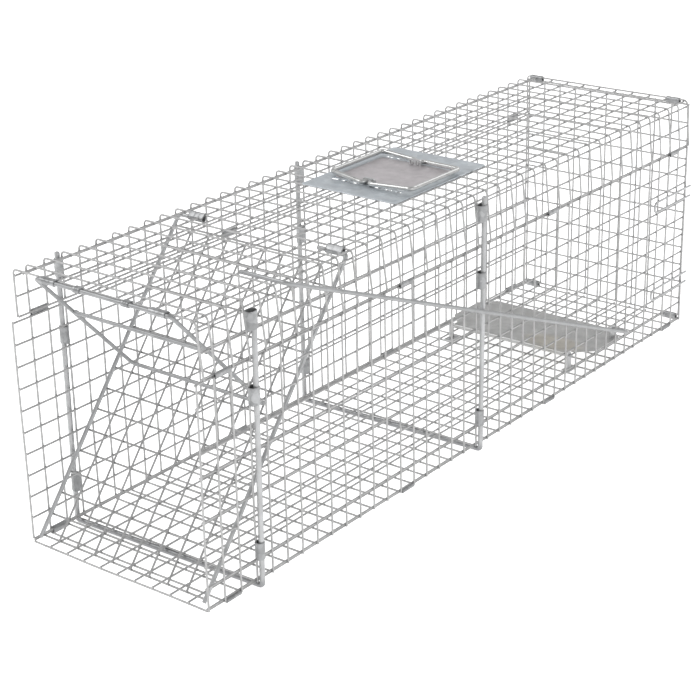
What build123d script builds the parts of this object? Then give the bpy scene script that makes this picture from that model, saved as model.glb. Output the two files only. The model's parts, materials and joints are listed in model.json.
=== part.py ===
"""Live catch trap: a long wire-mesh cage with a sloping gravity door, a lock bail and a treadle.

Millimetres. X is the width, Y the length with the door at the low end, Z is up.
Everything is laid out from the front edge of the floor mesh, standing on Z = 0, and at the
end the whole trap is moved so that the origin is under the middle of its overall size.
"""

from build123d import *
from math import asin, atan2, cos, degrees, hypot, pi, sin
import os

os.makedirs("parts", exist_ok=True)

# --- welded mesh -------------------------------------------------------------------------
PITCH = 25.4  # one inch squares
RIGHT_PITCH = 25.1  # of the right side panel, upwards
ROOF_PITCH = 26.0  # of the folded roof sheet, across the trap
LEFT_SKIRT_PITCH = 22.8  # of the same sheet, down its two skirts
RIGHT_SKIRT_PITCH = 26.6
WIRE = 2.2  # mesh wire
CELLS_WIDE = 10
CELLS_LONG = 39
CELLS_SIDE = 10  # side panels
CELLS_ROOF = 9  # flat part of the roof sheet
CELLS_SKIRT = 2  # each of its folded-down skirts
CELLS_REAR = 12
CAGE_HEIGHT = 315.8  # floor wires to roof wires
ROOF_FIRST_X = -114.3  # the roof's leftmost long wire
LEFT_SKIRT = 52.5  # roof wires to the left skirt's lowest wire
RIGHT_SKIRT = 62.2

# --- rods --------------------------------------------------------------------------------
FRAME_ROD = 6.0  # the two U frames that carry the cage
DOOR_ROD = 4.8
LOCK_ROD = 4.4
TRIGGER_ROD = 4.8
HANDLE_ROD = 5.5
AXLE_ROD = 4.0
HOOK_ROD = 3.0
TOUCH_GAP = 0.02  # air between pieces drawn as touching
RUNNING = 0.06  # radial play of a rod in its sleeve
FREE_GAP = 0.4  # least air between pieces that move past each other

# --- crimped sleeves ---------------------------------------------------------------------
SHEET = 1.2
SLEEVE_LENGTH = 22.6  # fits between two neighbouring wires
POST_SLEEVE_LENGTH = 20.0
REAR_SLEEVE_LENGTH = 20.0
REAR_ROOF_SLEEVES_X = (-114.0, 104.0)
SHORT_SLEEVE = 10.0
SLEEVE_SLACK = 0.5
NOTCH = 10.0  # how far a sleeve's notch for a crossing wire reaches

# --- levels and planes worked out from the above -----------------------------------------
FLOOR_Z = FRAME_ROD + WIRE / 2
HALF_FLOOR = CELLS_WIDE * PITCH / 2
HALF_WALL = HALF_FLOOR + WIRE
LENGTH = CELLS_LONG * PITCH
ROOF_Z = FLOOR_Z + CAGE_HEIGHT
ROOF_TOP = ROOF_Z + WIRE / 2
LEFT_SIDE_Z = FLOOR_Z + 4.9
RIGHT_SIDE_Z = FLOOR_Z + 0.25
ROOF_FRONT_Y = 8.0
REAR_Y = LENGTH + WIRE
REAR_TOP_Z = ROOF_Z - 5.0

# --- frames ------------------------------------------------------------------------------
FRAME_BEND = 4.0  # centre-line radius, tight enough to clear the side panels
POST_GAP = 0.6  # from the side panels' wires
POST_X = HALF_WALL + WIRE / 2 + FRAME_ROD / 2 + POST_GAP
FRONT_WIRE_Y = 3 * PITCH  # the upright wire that the front posts are held to
MID_WIRE_Y = 19 * PITCH
LEFT_POST_SHIFT = -5.5  # both frames stand a little askew
RIGHT_POST_SHIFT = 2.5
POST_TOP = ROOF_Z - 1.0
FRONT_RIGHT_TOP = ROOF_Z - 15.0  # this post ends inside its top sleeve
FRONT_LEAN = (3.5, 5.0)  # how far back the left and right post tops lean
MID_LEAN = (0.0, 5.0)
POST_SLEEVE_CELLS = (1, 8)  # side panel cells, counted from its bottom wire, that hold a sleeve
SEAM_SLEEVE_CELLS = (1, 13, 25, 37)  # cells along the length, counted from the front

# --- door --------------------------------------------------------------------------------
HINGE_Y = 10 * PITCH - 3.4
HINGE_Z = ROOF_Z - 4.3
DOOR_FOOT_Y = 5.0
DOOR_FOOT_Z = FLOOR_Z + 9.5
DOOR_LENGTH = hypot(HINGE_Y - DOOR_FOOT_Y, HINGE_Z - DOOR_FOOT_Z)
DOOR_SLOPE = atan2(HINGE_Z - DOOR_FOOT_Z, HINGE_Y - DOOR_FOOT_Y)
DOOR_HALF = 120.5
DOOR_BEND = 4.0
DOOR_CELLS_WIDE = 9
DOOR_CELLS_LONG = 15
DOOR_MESH_TOP = 13.0  # from the hinge to the first cross wire
DOOR_TOE = 4.0  # of each side rod past the last cross wire
DOOR_ARM_SHOWS = 2.0  # end of each hinge arm past its sleeve
HINGE_SLEEVES_X = (-94.0, 104.0)

# --- lock bail ---------------------------------------------------------------------------
LOCK_CENTRE_X = 3.0
LOCK_BEND = 6.0
LOCK_HALF = 95.5
LOCK_LEG = 191.0
LOCK_Y = ROOF_FRONT_Y - WIRE / 2 - LOCK_ROD / 2 - 0.9
LOCK_Z = ROOF_Z - 0.9
LOCK_REST_GAP = 1.1  # from the resting bail to the door's mesh
CROSSBAR_AT = 0.38  # of the leg, from the pivot
LOCK_SLEEVE_X = 77.0  # either side of the bail's middle
LOCK_SHORT_SLEEVE_X = 34.0

# --- guard plate and carrying handle -----------------------------------------------------
TOP_CENTRE_X = 2.0
TOP_CENTRE_Y = 495.0
PLATE_WIDTH = 138.0
PLATE_LENGTH = 184.0
PLATE_SHEET = 1.0
PLATE_CORNER = 4.0
SLOTS = 3  # either side of each knuckle, under the handle's front and rear runs
SLOT_PITCH = 15.0
SLOT_LENGTH = 10.0
SLOT_WIDTH = 4.5
SLOT_FIRST_X = 17.0
SLOT_Y = 54.5
HANDLE_BEND = 5.0
HANDLE_PIVOT_RISE = 3.4  # rod centre above the plate at the pivots
HANDLE_OUTER_RISE = 5.4  # and where the fingers go
HANDLE_PIVOT_X = 4.2  # either side of the centre line
HANDLE_PIVOT_HALF = 54.5  # between the pivot line's middle and either run
HANDLE_PIVOT_Y = 491.5
LEFT_GRIP_X = -57.5  # the outer run of the left bail, and its two ends
LEFT_GRIP_Y = (450.0, 550.0)
RIGHT_GRIP_X = 65.0
RIGHT_GRIP_Y = (442.5, 539.0)
HANDLE_TAIL = 10.0
KNUCKLE_SHEET = 3.0
KNUCKLE_WALL = 1.6
KNUCKLE_CORNER = 3.0

# --- treadle -----------------------------------------------------------------------------
TREADLE_CENTRE_X = 10.0
TREADLE_WIDTH = 228.0
TREADLE_AXLE_Y = 745.0
TREADLE_AXLE_Z = FLOOR_Z + 22.0
TREADLE_REAR_Y = 851.0
TREADLE_SHEET = 1.2
TREADLE_CHAMFER = 20.0
TREADLE_SETBACK = 7.0  # from the axle to the corners beside the rolled edge
ROLL_RADIUS = AXLE_ROD / 2 + TREADLE_SHEET
BRACKET_X = 94.5
BRACKET_CENTRE_X = 4.5
BRACKET_SHEET = 2.0
BRACKET_FOOT = (12.0, 20.0, 1.5)  # width, length and thickness
SIDE_PLAY = 4.0  # from a bracket to the rolled edge, and to the end of the axle
EAR_HALF = 4.5
EAR_RISE = 4.0  # above the axle
EAR_CORNER = 3.5
TONGUE = 30.0  # how far the sheet behind the rolled edge runs under the plate's front
LUG_X = 116.0
LUG_Y = 827.5
LUG_Z = FLOOR_Z + 36.4
LUG_SHEET = 2.0
LUG_HALF = 8.0
LUG_RISE = 6.0  # above the hole
LUG_CORNER = 5.0

# --- trigger rod -------------------------------------------------------------------------
TRIGGER_X = POST_X + FRAME_ROD / 2 + TRIGGER_ROD / 2 + FREE_GAP
TRIGGER_BEND_Y = 129.5
TRIGGER_BEND_Z = ROOF_TOP + TRIGGER_ROD / 2 + FREE_GAP
TRIGGER_TIP_X = 77.0
TRIGGER_HOOK_X = 110.0
TRIGGER_BEND = 6.0

# --- hooks that hold the rear panel ------------------------------------------------------
HOOK_FRONT_Y = 35.5 * PITCH
HOOK_REAR_Y = REAR_Y + 7.0
HOOK_HALF = 7.0
HOOK_BEND = 6.0
HOOK_CELLS = (2, 7)

nodes = {}


def lines(start, count, pitch):
    """Centre lines of count + 1 evenly spaced wires."""
    return [start + i * pitch for i in range(count + 1)]


def rectangle_wire(low_u, high_u, low_v, high_v):
    corners = [(low_u, low_v), (high_u, low_v), (high_u, high_v), (low_u, high_v)]
    return Wire.make_polygon(corners, close=True)


def mesh_panel(us, vs, plane):
    """A flat welded mesh with wires at us and vs, in the given plane, one wire thick."""
    half = WIRE / 2
    outside = rectangle_wire(us[0] - half, us[-1] + half, vs[0] - half, vs[-1] + half)
    squares = []
    for u, next_u in zip(us, us[1:]):
        for v, next_v in zip(vs, vs[1:]):
            squares.append(rectangle_wire(u + half, next_u - half, v + half, next_v - half))
    return plane.location * extrude(Face(outside, squares), amount=half, both=True)


def open_sided_panel(us, vs, reach, plane):
    """A welded mesh without side wires: its cross wires run out to -reach and +reach."""
    half = WIRE / 2
    right = []
    for v in vs:
        if v != vs[0]:
            right.append((us[-1] + half, v - half))
        right += [(reach, v - half), (reach, v + half)]
        if v != vs[-1]:
            right.append((us[-1] + half, v + half))
    left = [(-u, v) for u, v in reversed(right)]
    outside = Wire.make_polygon([(u, v, 0) for u, v in right + left], close=True)
    squares = []
    for u, next_u in zip(us, us[1:]):
        for v, next_v in zip(vs, vs[1:]):
            squares.append(rectangle_wire(u + half, next_u - half, v + half, next_v - half))
    return plane.location * extrude(Face(outside, squares), amount=half, both=True)


def bent_rod(points, diameter, radius, close=False):
    """A round rod along straight runs joined by arcs."""
    path = FilletPolyline(*points, radius=radius, close=close)
    section = Plane(path @ 0, z_dir=path % 0) * Circle(diameter / 2)
    return sweep(section, path=path)


def rod_along_x(y, z, low_x, high_x, radius):
    disc = Plane((low_x, y, z), z_dir=(1, 0, 0)) * Circle(radius)
    return extrude(disc, amount=high_x - low_x)


def block(low, high):
    """A box between two corners."""
    size = [b - a for a, b in zip(low, high)]
    return Pos(*low) * Box(*size, align=(Align.MIN, Align.MIN, Align.MIN))


def box_sleeve(low, high, axis):
    """A flattened sleeve round the space low..high, open along axis (0, 1 or 2)."""
    outer_low = [a - (0 if i == axis else SHEET) for i, a in enumerate(low)]
    outer_high = [b + (0 if i == axis else SHEET) for i, b in enumerate(high)]
    shell = block(outer_low, outer_high)
    along = shell.edges().filter_by((Axis.X, Axis.Y, Axis.Z)[axis])
    return fillet(along, SHEET) - block(low, high)


def pivot_sleeve(x, length, rod_y, rod_z, rod, wire_y):
    """A sleeve that hangs a turning rod from the roof wire at wire_y, notched for long wires."""
    half = WIRE / 2
    low_x, high_x = x - length / 2, x + length / 2
    barrel = rod_along_x(rod_y, rod_z, low_x, high_x, rod / 2 + SHEET)
    cheek = block(
        (low_x, wire_y - half - SHEET, ROOF_Z - half - SHEET / 2),
        (high_x, wire_y + half + SHEET, ROOF_Z + half + SHEET),
    )
    bore = rod_along_x(rod_y, rod_z, low_x, high_x, rod / 2 + RUNNING)
    pocket = block((low_x, wire_y - half, ROOF_Z - half), (high_x, wire_y + half, ROOF_Z + half))
    sleeve = barrel + cheek - bore - pocket
    for wire_x in roof_sheet_wires()[1]:
        if low_x - half < wire_x < high_x + half:
            notch_front = wire_y - NOTCH if wire_y > PITCH else wire_y
            sleeve -= block(
                (wire_x - half, notch_front, ROOF_Z - half),
                (wire_x + half, wire_y + NOTCH, ROOF_Z + half),
            )
    return sleeve


def mirrored(shape):
    return mirror(shape, about=Plane.YZ)


def roof_sheet_wires():
    """Where the long wires of the folded roof sheet lie.

    Returns the left skirt's heights, the roof's widths and the right skirt's heights.
    """
    left = lines(ROOF_Z - LEFT_SKIRT, CELLS_SKIRT, LEFT_SKIRT_PITCH)
    roof = lines(ROOF_FIRST_X, CELLS_ROOF, ROOF_PITCH)
    right = lines(ROOF_Z - RIGHT_SKIRT, CELLS_SKIRT, RIGHT_SKIRT_PITCH)
    return left, roof, right


def cage_panels():
    across = lines(-HALF_FLOOR, CELLS_WIDE, PITCH)
    along = lines(0, CELLS_LONG, PITCH)
    roof_along = [ROOF_FRONT_Y] + along[1:]
    left_skirt, roof_across, right_skirt = roof_sheet_wires()
    fold = [ROOF_Z - WIRE]
    edge = [HALF_WALL]
    left_wall, right_wall = wall_plane(-HALF_WALL), wall_plane(HALF_WALL)
    left_up = lines(LEFT_SIDE_Z, CELLS_SIDE, PITCH)
    right_up = lines(RIGHT_SIDE_Z, CELLS_SIDE, RIGHT_PITCH)
    rear_up = lines(REAR_TOP_Z - CELLS_REAR * PITCH, CELLS_REAR, PITCH)
    rear_plane = Plane((0, REAR_Y, 0), x_dir=(1, 0, 0), z_dir=(0, -1, 0))

    nodes["floor_mesh"] = [mesh_panel(across, along, Plane.XY.offset(FLOOR_Z))]
    nodes["roof_mesh"] = [
        mesh_panel([-HALF_WALL] + roof_across + edge, roof_along, Plane.XY.offset(ROOF_Z)),
        mesh_panel(roof_along, left_skirt + fold, left_wall),
        mesh_panel(roof_along, right_skirt + fold, right_wall),
    ]
    nodes["left_side_mesh"] = [mesh_panel(along, left_up, left_wall)]
    nodes["right_side_mesh"] = [mesh_panel(along, right_up, right_wall)]
    nodes["rear_mesh"] = [mesh_panel(across, rear_up, rear_plane)]


def wall_plane(x):
    """The upright plane at x whose own axes are the trap's Y and Z."""
    return Plane((x, 0, 0), x_dir=(0, 1, 0), z_dir=(1, 0, 0))


def carrying_frame(wire_y, lean, right_top):
    """One U-shaped rod: a bar under the floor and a post up each side."""
    low = FRAME_ROD / 2
    left_y, right_y = wire_y + LEFT_POST_SHIFT, wire_y + RIGHT_POST_SHIFT
    points = [
        (-POST_X, left_y + lean[0], POST_TOP),
        (-POST_X, left_y, low),
        (POST_X, right_y, low),
        (POST_X, right_y + lean[1] * right_top / POST_TOP, right_top),
    ]
    return bent_rod(points, FRAME_ROD, FRAME_BEND)


def post_sleeves(wire_y, leans):
    """Sleeves that crimp both posts of a frame to the side panels' upright wire."""
    left_skirt, _, right_skirt = roof_sheet_wires()
    below_wire = WIRE / 2 + POST_SLEEVE_LENGTH / 2 + FREE_GAP / 2
    sleeves = []
    for side_z, pitch, skirt, shift, lean in (
        (LEFT_SIDE_Z, PITCH, left_skirt, LEFT_POST_SHIFT, leans[0]),
        (RIGHT_SIDE_Z, RIGHT_PITCH, right_skirt, RIGHT_POST_SHIFT, leans[1]),
    ):
        low_x, high_x = HALF_WALL - WIRE / 2, POST_X + FRAME_ROD / 2
        heights = [side_z + (cell + 0.5) * pitch for cell in POST_SLEEVE_CELLS]
        for z in heights + [skirt[-1] - below_wire]:
            post_y = wire_y + shift + lean * z / POST_TOP
            low_y = min(wire_y - WIRE / 2, post_y - FRAME_ROD / 2) - SLEEVE_SLACK
            high_y = max(wire_y + WIRE / 2, post_y + FRAME_ROD / 2) + SLEEVE_SLACK
            low = (low_x, low_y, z - POST_SLEEVE_LENGTH / 2)
            high = (high_x, high_y, z + POST_SLEEVE_LENGTH / 2)
            sleeve = box_sleeve(low, high, 2)
            sleeves.append(sleeve if shift > 0 else mirrored(sleeve))
    return sleeves


def seam_sleeves(low_x, high_x, low_z, high_z):
    """A row of sleeves along one long seam of the right side."""
    sleeves = []
    for cell in SEAM_SLEEVE_CELLS:
        middle = (cell + 0.5) * PITCH
        low = (low_x, middle - SLEEVE_LENGTH / 2, low_z)
        high = (high_x, middle + SLEEVE_LENGTH / 2, high_z)
        sleeves.append(box_sleeve(low, high, 1))
    return sleeves


def cage_fasteners():
    half = WIRE / 2
    left_skirt, _, right_skirt = roof_sheet_wires()
    for side, side_z, pitch, skirt_z in (
        ("left", LEFT_SIDE_Z, PITCH, left_skirt[0]),
        ("right", RIGHT_SIDE_Z, RIGHT_PITCH, right_skirt[0]),
    ):
        side_top = side_z + CELLS_SIDE * pitch
        upper = seam_sleeves(HALF_WALL - half, HALF_WALL + half, side_top - half, skirt_z + half)
        lower = seam_sleeves(HALF_FLOOR - half, HALF_WALL + half, FLOOR_Z - half, side_z + half)
        if side == "left":
            upper = [mirrored(sleeve) for sleeve in upper]
            lower = [mirrored(sleeve) for sleeve in lower]
        nodes[side + "_skirt_seam_sleeves"] = upper
        nodes[side + "_floor_seam_sleeves"] = lower
    nodes["front_post_sleeves"] = post_sleeves(FRONT_WIRE_Y, FRONT_LEAN)
    nodes["mid_post_sleeves"] = post_sleeves(MID_WIRE_Y, MID_LEAN)

    middle = 4.5 * PITCH
    low_x, high_x = middle - REAR_SLEEVE_LENGTH / 2, middle + REAR_SLEEVE_LENGTH / 2
    low_y, high_y = LENGTH - half, REAR_Y + half
    rear_foot_z = REAR_TOP_Z - CELLS_REAR * PITCH
    foot = box_sleeve((low_x, low_y, FLOOR_Z - half), (high_x, high_y, rear_foot_z + half), 0)
    nodes["rear_floor_sleeves"] = [foot, mirrored(foot)]
    nodes["rear_roof_sleeves"] = [rear_roof_sleeve(x) for x in REAR_ROOF_SLEEVES_X]


def rear_roof_sleeve(x):
    """Round the rear panel's top wire and the roof's last wire, notched for wires that cross them."""
    half = WIRE / 2
    low_x, high_x = x - REAR_SLEEVE_LENGTH / 2, x + REAR_SLEEVE_LENGTH / 2
    low = (low_x, LENGTH - half, REAR_TOP_Z - half)
    high = (high_x, REAR_Y + half, ROOF_TOP)
    sleeve = box_sleeve(low, high, 0)
    for wire_x in roof_sheet_wires()[1]:
        if low_x - half < wire_x < high_x + half:
            sleeve -= block(
                (wire_x - half, LENGTH - NOTCH, ROOF_Z - half),
                (wire_x + half, LENGTH, ROOF_Z + half),
            )
    for wire_x in lines(-CELLS_WIDE / 2 * PITCH, CELLS_WIDE, PITCH):
        if low_x - half < wire_x < high_x + half:
            sleeve -= block(
                (wire_x - half, REAR_Y - half, REAR_TOP_Z - NOTCH),
                (wire_x + half, REAR_Y + half, REAR_TOP_Z),
            )
    return sleeve


def rear_hooks():
    """Hairpins that lie along the right side and reach past the rear panel."""
    x = HALF_WALL + WIRE / 2 + HOOK_ROD / 2
    hooks = []
    for cell in HOOK_CELLS:
        z = RIGHT_SIDE_Z + (cell + 0.5) * RIGHT_PITCH
        points = [
            (x, HOOK_REAR_Y, z - HOOK_HALF),
            (x, HOOK_FRONT_Y, z - HOOK_HALF),
            (x, HOOK_FRONT_Y, z + HOOK_HALF),
            (x, HOOK_REAR_Y, z + HOOK_HALF),
        ]
        hooks.append(bent_rod(points, HOOK_ROD, HOOK_BEND))
    nodes["rear_retaining_hooks"] = hooks


def door_plane():
    """x across the trap, y down the door from its hinge, z out of its front face."""
    down = (0, -cos(DOOR_SLOPE), -sin(DOOR_SLOPE))
    out = (0, -sin(DOOR_SLOPE), cos(DOOR_SLOPE))
    across = Vector(*down).cross(Vector(*out))
    return Plane((0, HINGE_Y, HINGE_Z), x_dir=across, z_dir=out)


def door():
    """Two side rods, each turned in at the hinge, with the mesh welded between them."""
    plane = door_plane()
    rods = []
    for side, sleeve_x in zip((-1, 1), HINGE_SLEEVES_X):
        arm_end = sleeve_x - side * (SLEEVE_LENGTH / 2 + DOOR_ARM_SHOWS)
        points = [
            (arm_end, 0, 0),
            (side * DOOR_HALF, 0, 0),
            (side * DOOR_HALF, DOOR_LENGTH + DOOR_TOE, 0),
        ]
        rods.append(plane.location * bent_rod(points, DOOR_ROD, DOOR_BEND))
    nodes["door_frame"] = rods

    reach = DOOR_HALF - DOOR_ROD / 2 - TOUCH_GAP
    pitch_x = 2 * DOOR_HALF / DOOR_CELLS_WIDE
    pitch_y = (DOOR_LENGTH - DOOR_MESH_TOP) / DOOR_CELLS_LONG
    across = lines(pitch_x - DOOR_HALF, DOOR_CELLS_WIDE - 2, pitch_x)
    down = lines(DOOR_MESH_TOP, DOOR_CELLS_LONG, pitch_y)
    nodes["door_mesh"] = [open_sided_panel(across, down, reach, plane)]

    nodes["door_hinge_sleeves"] = [
        pivot_sleeve(x, SLEEVE_LENGTH, HINGE_Y, HINGE_Z, DOOR_ROD, 10 * PITCH)
        for x in HINGE_SLEEVES_X
    ]


def lock_angle():
    """How far below the horizontal the bail's legs point when it rests on the door."""
    height = sin(DOOR_SLOPE) * (HINGE_Y - LOCK_Y) + cos(DOOR_SLOPE) * (LOCK_Z - HINGE_Z)
    standoff = WIRE / 2 + LOCK_ROD / 2 + LOCK_REST_GAP
    return pi - asin((height - standoff) / LOCK_LEG) - DOOR_SLOPE


def lock_bail():
    angle = lock_angle()
    along = (0, cos(angle), -sin(angle))
    plane = Plane((LOCK_CENTRE_X, LOCK_Y, LOCK_Z), x_dir=(1, 0, 0), z_dir=(0, sin(angle), cos(angle)))
    corners = [(-LOCK_HALF, 0), (LOCK_HALF, 0), (LOCK_HALF, LOCK_LEG), (-LOCK_HALF, LOCK_LEG)]
    corners = [(u, v, 0) for u, v in corners]
    nodes["lock_loop"] = [plane.location * bent_rod(corners, LOCK_ROD, LOCK_BEND, close=True)]

    y = LOCK_Y + CROSSBAR_AT * LOCK_LEG * along[1]
    z = LOCK_Z + CROSSBAR_AT * LOCK_LEG * along[2]
    reach = LOCK_HALF - LOCK_ROD / 2
    bar = rod_along_x(y, z, LOCK_CENTRE_X - reach, LOCK_CENTRE_X + reach, LOCK_ROD / 2)
    nodes["lock_crossbar"] = [bar]

    sleeves = []
    for offset, length in ((LOCK_SLEEVE_X, SLEEVE_LENGTH), (LOCK_SHORT_SLEEVE_X, SHORT_SLEEVE)):
        for x in (LOCK_CENTRE_X - offset, LOCK_CENTRE_X + offset):
            sleeves.append(pivot_sleeve(x, length, LOCK_Y, LOCK_Z, LOCK_ROD, ROOF_FRONT_Y))
    nodes["lock_hinge_sleeves"] = sleeves


def guard_plate():
    sheet = Rectangle(PLATE_WIDTH, PLATE_LENGTH)
    sheet = fillet(sheet.vertices(), PLATE_CORNER)
    for u_side in (-1, 1):
        for v_side in (-1, 1):
            for i in range(SLOTS):
                centre = Pos(u_side * (SLOT_FIRST_X + i * SLOT_PITCH), v_side * SLOT_Y)
                sheet -= centre * SlotOverall(SLOT_LENGTH, SLOT_WIDTH)
    plate = extrude(sheet, amount=PLATE_SHEET)
    nodes["guard_plate"] = [Pos(TOP_CENTRE_X, TOP_CENTRE_Y, ROOF_TOP) * plate]


def handles():
    plate_top = ROOF_TOP + PLATE_SHEET
    z = plate_top + HANDLE_PIVOT_RISE
    grip_z = plate_top + HANDLE_OUTER_RISE
    low, high = HANDLE_PIVOT_Y - HANDLE_PIVOT_HALF, HANDLE_PIVOT_Y + HANDLE_PIVOT_HALF
    for name, side, grip_x, grip_y in (
        ("left_handle", -1, LEFT_GRIP_X, LEFT_GRIP_Y),
        ("right_handle", 1, RIGHT_GRIP_X, RIGHT_GRIP_Y),
    ):
        pivot_x = TOP_CENTRE_X + side * HANDLE_PIVOT_X
        points = [
            (pivot_x, low + HANDLE_TAIL, z),
            (pivot_x, low, z),
            (grip_x, grip_y[0], grip_z),
            (grip_x, grip_y[1], grip_z),
            (pivot_x, high, z),
            (pivot_x, high - HANDLE_TAIL, z),
        ]
        nodes[name] = [bent_rod(points, HANDLE_ROD, HANDLE_BEND)]

    radius = HANDLE_ROD / 2
    half = HANDLE_PIVOT_X + radius + KNUCKLE_WALL
    knuckles = []
    for end in (-1, 1):
        middle = HANDLE_PIVOT_Y + end * (HANDLE_PIVOT_HALF - HANDLE_TAIL + KNUCKLE_SHEET / 2)
        low_y, high_y = middle - KNUCKLE_SHEET / 2, middle + KNUCKLE_SHEET / 2
        knuckle = block(
            (TOP_CENTRE_X - half, low_y, plate_top),
            (TOP_CENTRE_X + half, high_y, z + radius + KNUCKLE_WALL),
        )
        knuckle = fillet(knuckle.edges().filter_by(Axis.Y).group_by(Axis.Z)[-1], KNUCKLE_CORNER)
        for side in (-1, 1):
            centre = Plane((TOP_CENTRE_X + side * HANDLE_PIVOT_X, low_y, z), z_dir=(0, 1, 0))
            knuckle -= extrude(centre * Circle(radius + RUNNING), amount=KNUCKLE_SHEET)
        knuckles.append(knuckle)
    nodes["handle_knuckles"] = knuckles


def treadle():
    axle_y, axle_z = TREADLE_AXLE_Y, TREADLE_AXLE_Z
    top = axle_z + ROLL_RADIUS
    low_x = TREADLE_CENTRE_X - TREADLE_WIDTH / 2
    high_x = TREADLE_CENTRE_X + TREADLE_WIDTH / 2
    front_y = axle_y + TREADLE_SETBACK
    clear_x = BRACKET_X - BRACKET_SHEET / 2 - SIDE_PLAY
    roll_low, roll_high = BRACKET_CENTRE_X - clear_x, BRACKET_CENTRE_X + clear_x

    plate = block((low_x, front_y, top - TREADLE_SHEET), (high_x, TREADLE_REAR_Y, top))
    plate = chamfer(plate.edges().filter_by(Axis.Z), TREADLE_CHAMFER)
    tongue = block((roll_low, axle_y, top - TREADLE_SHEET), (roll_high, front_y + TONGUE, top))
    roll = rod_along_x(axle_y, axle_z, roll_low, roll_high, ROLL_RADIUS)
    inside = rod_along_x(axle_y, axle_z, roll_low, roll_high, AXLE_ROD / 2)
    nodes["treadle_plate"] = [plate + tongue + roll - inside]

    axle_reach = BRACKET_X + BRACKET_SHEET / 2 + SIDE_PLAY
    low, high = BRACKET_CENTRE_X - axle_reach, BRACKET_CENTRE_X + axle_reach
    nodes["treadle_axle"] = [rod_along_x(axle_y, axle_z, low, high, AXLE_ROD / 2)]

    floor_top = FLOOR_Z + WIRE / 2
    ear_top = axle_z + EAR_RISE
    foot_x, foot_y, foot_z = BRACKET_FOOT
    brackets = []
    for side in (-1, 1):
        middle = BRACKET_CENTRE_X + side * BRACKET_X
        low_x, high_x = middle - BRACKET_SHEET / 2, middle + BRACKET_SHEET / 2
        ear = block((low_x, axle_y - EAR_HALF, floor_top), (high_x, axle_y + EAR_HALF, ear_top))
        ear = fillet(ear.edges().filter_by(Axis.X).group_by(Axis.Z)[-1], EAR_CORNER)
        foot = block(
            (middle - foot_x / 2, axle_y - foot_y / 2, floor_top),
            (middle + foot_x / 2, axle_y + foot_y / 2, floor_top + foot_z),
        )
        hole = rod_along_x(axle_y, axle_z, low_x, high_x, AXLE_ROD / 2 + RUNNING)
        brackets.append(ear + foot - hole)
    nodes["treadle_brackets"] = brackets

    lug = block(
        (LUG_X, LUG_Y - LUG_HALF, top),
        (LUG_X + LUG_SHEET, LUG_Y + LUG_HALF, LUG_Z + LUG_RISE),
    )
    lug = fillet(lug.edges().filter_by(Axis.X).group_by(Axis.Z)[-1], LUG_CORNER)
    hole = rod_along_x(LUG_Y, LUG_Z, LUG_X, LUG_X + LUG_SHEET, TRIGGER_ROD / 2 + RUNNING)
    nodes["treadle_lug"] = [lug - hole]


def trigger_rod():
    """Hooked into the treadle's lug, out through the side, and up to lie on the roof."""
    points = [
        (TRIGGER_HOOK_X, LUG_Y, LUG_Z),
        (TRIGGER_X, LUG_Y, LUG_Z),
        (TRIGGER_X, TRIGGER_BEND_Y, TRIGGER_BEND_Z),
        (TRIGGER_TIP_X, TRIGGER_BEND_Y, TRIGGER_BEND_Z),
    ]
    nodes["trigger_rod"] = [bent_rod(points, TRIGGER_ROD, TRIGGER_BEND)]


def write_nodes():
    """Move the trap so that the origin is under the middle of its overall size, and save it."""
    whole = Compound([solid for solids in nodes.values() for solid in solids]).bounding_box()
    centre = whole.center()
    home = Pos(-centre.X, -centre.Y, -whole.min.Z)
    print("moved by", -centre.X, -centre.Y, -whole.min.Z, "size", whole.size)
    for name, solids in nodes.items():
        placed = [home * solid for solid in solids]
        shape = placed[0] if len(placed) == 1 else Compound(placed)
        export_step(shape, f"parts/{name}.step")


cage_panels()
nodes["front_frame"] = [carrying_frame(FRONT_WIRE_Y, FRONT_LEAN, FRONT_RIGHT_TOP)]
nodes["mid_frame"] = [carrying_frame(MID_WIRE_Y, MID_LEAN, POST_TOP)]
cage_fasteners()
rear_hooks()
door()
lock_bail()
guard_plate()
handles()
treadle()
trigger_rod()
print("lock legs point", degrees(lock_angle()), "below level; door slope", degrees(DOOR_SLOPE))
write_nodes()
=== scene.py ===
"""Looks of the live catch trap: welded wires, bent rods, crimped sleeves and zinc sheet."""

import json
import math

import bmesh
import bpy
import numpy as np
from mathutils import Matrix, Vector, noise


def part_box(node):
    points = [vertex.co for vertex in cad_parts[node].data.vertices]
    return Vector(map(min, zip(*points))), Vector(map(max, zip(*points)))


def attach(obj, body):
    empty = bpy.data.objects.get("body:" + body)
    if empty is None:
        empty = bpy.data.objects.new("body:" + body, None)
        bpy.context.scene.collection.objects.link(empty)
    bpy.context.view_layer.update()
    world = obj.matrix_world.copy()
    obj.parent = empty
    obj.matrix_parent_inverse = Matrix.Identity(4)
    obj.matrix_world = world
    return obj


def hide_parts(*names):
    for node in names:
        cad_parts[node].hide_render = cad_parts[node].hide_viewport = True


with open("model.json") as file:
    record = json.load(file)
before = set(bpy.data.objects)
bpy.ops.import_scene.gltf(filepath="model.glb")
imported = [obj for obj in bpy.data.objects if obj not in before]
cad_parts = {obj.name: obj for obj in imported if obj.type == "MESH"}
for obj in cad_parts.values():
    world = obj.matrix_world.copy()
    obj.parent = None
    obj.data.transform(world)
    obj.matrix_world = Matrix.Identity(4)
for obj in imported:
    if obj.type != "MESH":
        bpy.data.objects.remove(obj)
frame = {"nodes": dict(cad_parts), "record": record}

noise.seed_set(4)  # any fixed seed: without one the noise is different in every run
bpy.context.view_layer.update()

MM = 0.001
JOINTS = {joint["name"]: joint for joint in frame["record"]["behaviour"]["joints"]}

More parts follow.
